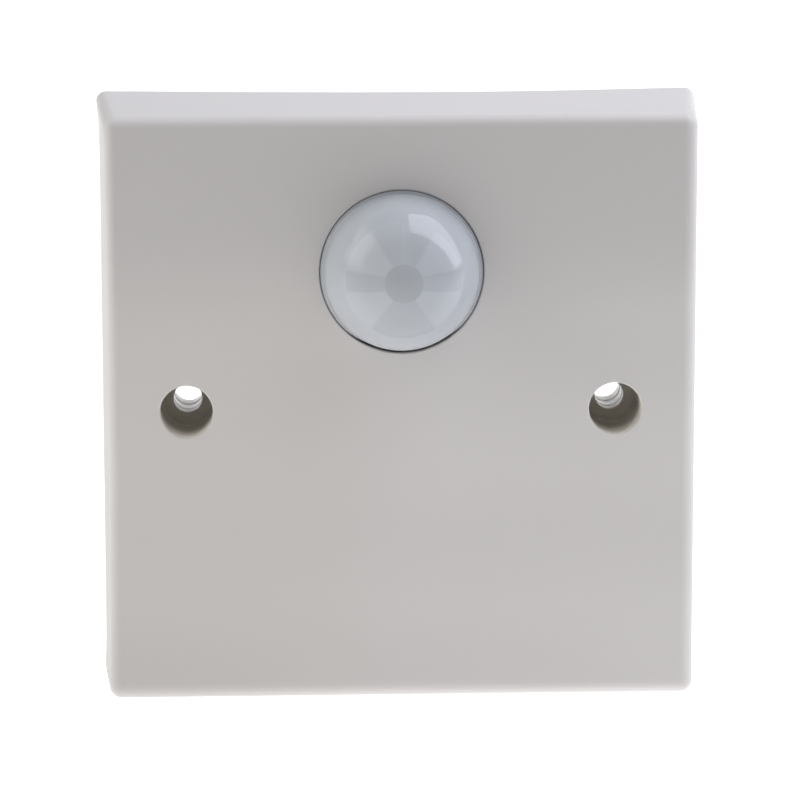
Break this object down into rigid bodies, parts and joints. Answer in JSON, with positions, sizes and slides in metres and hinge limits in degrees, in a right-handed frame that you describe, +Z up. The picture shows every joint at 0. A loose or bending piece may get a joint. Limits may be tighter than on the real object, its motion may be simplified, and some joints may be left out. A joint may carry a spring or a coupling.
{
  "type": "motion sensor light switch",
  "caption": "Square wall-mounted motion sensor light switch: deep moulded plate with a domed infrared lens, stepped fixing holes, and a rear cover with terminals and adjusters.",
  "frame": {"origin": "midway between the two fixing holes, on the wall plane", "axes": "-Y out of the face into the room, +Y into the wall box, +Z up, +X to the right seen from the room"},
  "size_m": [0.086, 0.0395, 0.086],
  "materials": {
    "plate_plastic": "satin",
    "lens_plastic": "gloss, milky translucent",
    "rear_plastic": "fine matt",
    "black_plastic": "matt",
    "gold_metal": "plated",
    "can_metal": "drawn",
    "filter_glass": "polished",
    "ceramic_white": "matt",
    "cell_amber": "clear coated",
    "board_green": "solder resist",
    "blue_plastic": "satin",
    "white_plastic": "satin",
    "terminal_grey": "satin",
    "brass_metal": "bright",
    "zinc_steel": "zinc plated",
    "relay_blue": "satin",
    "copper_wire": "enamelled",
    "iron_metal": "bare",
    "capacitor_yellow": "satin",
    "sleeve_navy": "shrink sleeve",
    "sleeve_black": "shrink sleeve",
    "varistor_blue": "dipped",
    "chip_black": "matt",
    "resistor_tan": "lacquered"
  },
  "bodies": {
    "switch_body": {"front_plate": "plate_plastic", "fresnel_lens": "lens_plastic", "lens_retainer": "plate_plastic", "sensor_holder": "black_plastic", "pir_header": "gold_metal", "pir_can": "can_metal", "pir_window": "filter_glass", "pir_element": "ceramic_white", "pir_leads": "gold_metal", "photocell": "cell_amber", "circuit_board": "board_green", "time_trimmer_body": "blue_plastic", "lux_trimmer_body": "blue_plastic", "terminal_housing": "terminal_grey", "terminal_contacts": "brass_metal", "relay_base": "black_plastic", "relay_case": "relay_blue", "relay_bobbin": "white_plastic", "relay_winding": "copper_wire", "relay_core": "iron_metal", "relay_yoke": "iron_metal", "relay_fixed_contact": "brass_metal", "relay_pins": "zinc_steel", "suppression_capacitor": "capacitor_yellow", "smoothing_capacitor": "sleeve_navy", "timing_capacitors": "sleeve_black", "varistor": "varistor_blue", "control_ic": "chip_black", "voltage_regulator": "chip_black", "rectifier_diodes": "chip_black", "resistors": "resistor_tan", "rear_cover": "rear_plastic", "cover_screws": "zinc_steel", "board_screws": "zinc_steel"},
    "time_adjuster": {"time_trimmer_rotor": "white_plastic", "time_spindle": "white_plastic"},
    "lux_adjuster": {"lux_trimmer_rotor": "white_plastic", "lux_spindle": "white_plastic"},
    "live_screw": {"terminal_screw_live": "zinc_steel"},
    "neutral_screw": {"terminal_screw_neutral": "zinc_steel"},
    "load_screw": {"terminal_screw_load": "zinc_steel"},
    "live_cage": {"terminal_cage_live": "brass_metal"},
    "neutral_cage": {"terminal_cage_neutral": "brass_metal"},
    "load_cage": {"terminal_cage_load": "brass_metal"},
    "relay_rocker": {"relay_armature": "iron_metal", "relay_contact_spring": "brass_metal"}
  },
  "joints": [
    {"name": "time_adjust", "type": "hinge", "parent": "switch_body", "child": "time_adjuster", "pos_m": [-0.015, -0.004, -0.0125], "axis": [0, -1, 0], "range_deg": [-130, 130]},
    {"name": "lux_adjust", "type": "hinge", "parent": "switch_body", "child": "lux_adjuster", "pos_m": [0.015, -0.004, -0.0125], "axis": [0, -1, 0], "range_deg": [-130, 130]},
    {"name": "live_screw_turn", "type": "hinge", "parent": "switch_body", "child": "live_screw", "pos_m": [-0.0075, -0.004, -0.025], "axis": [0, -1, 0], "range_deg": [0, 1728]},
    {"name": "live_cage_lift", "type": "slide", "parent": "switch_body", "child": "live_cage", "axis": [0, 1, 0], "range_m": [0, 0.0024]},
    {"name": "neutral_screw_turn", "type": "hinge", "parent": "switch_body", "child": "neutral_screw", "pos_m": [0, -0.004, -0.025], "axis": [0, -1, 0], "range_deg": [0, 1728]},
    {"name": "neutral_cage_lift", "type": "slide", "parent": "switch_body", "child": "neutral_cage", "axis": [0, 1, 0], "range_m": [0, 0.0024]},
    {"name": "load_screw_turn", "type": "hinge", "parent": "switch_body", "child": "load_screw", "pos_m": [0.0075, -0.004, -0.025], "axis": [0, -1, 0], "range_deg": [0, 1728]},
    {"name": "load_cage_lift", "type": "slide", "parent": "switch_body", "child": "load_cage", "axis": [0, 1, 0], "range_m": [0, 0.0024]},
    {"name": "relay_rock", "type": "hinge", "parent": "switch_body", "child": "relay_rocker", "pos_m": [-0.01275, 0.00075, 0.012], "axis": [1, 0, 0], "range_deg": [0, 4.2], "stiffness_Nm_per_rad": 0.02, "springref_deg": -2.86}
  ],
  "couplings": [
    {"joint": "live_screw_turn", "follows": "live_cage_lift", "rad_per_m": 12566},
    {"joint": "neutral_screw_turn", "follows": "neutral_cage_lift", "rad_per_m": 12566},
    {"joint": "load_screw_turn", "follows": "load_cage_lift", "rad_per_m": 12566}
  ]
}
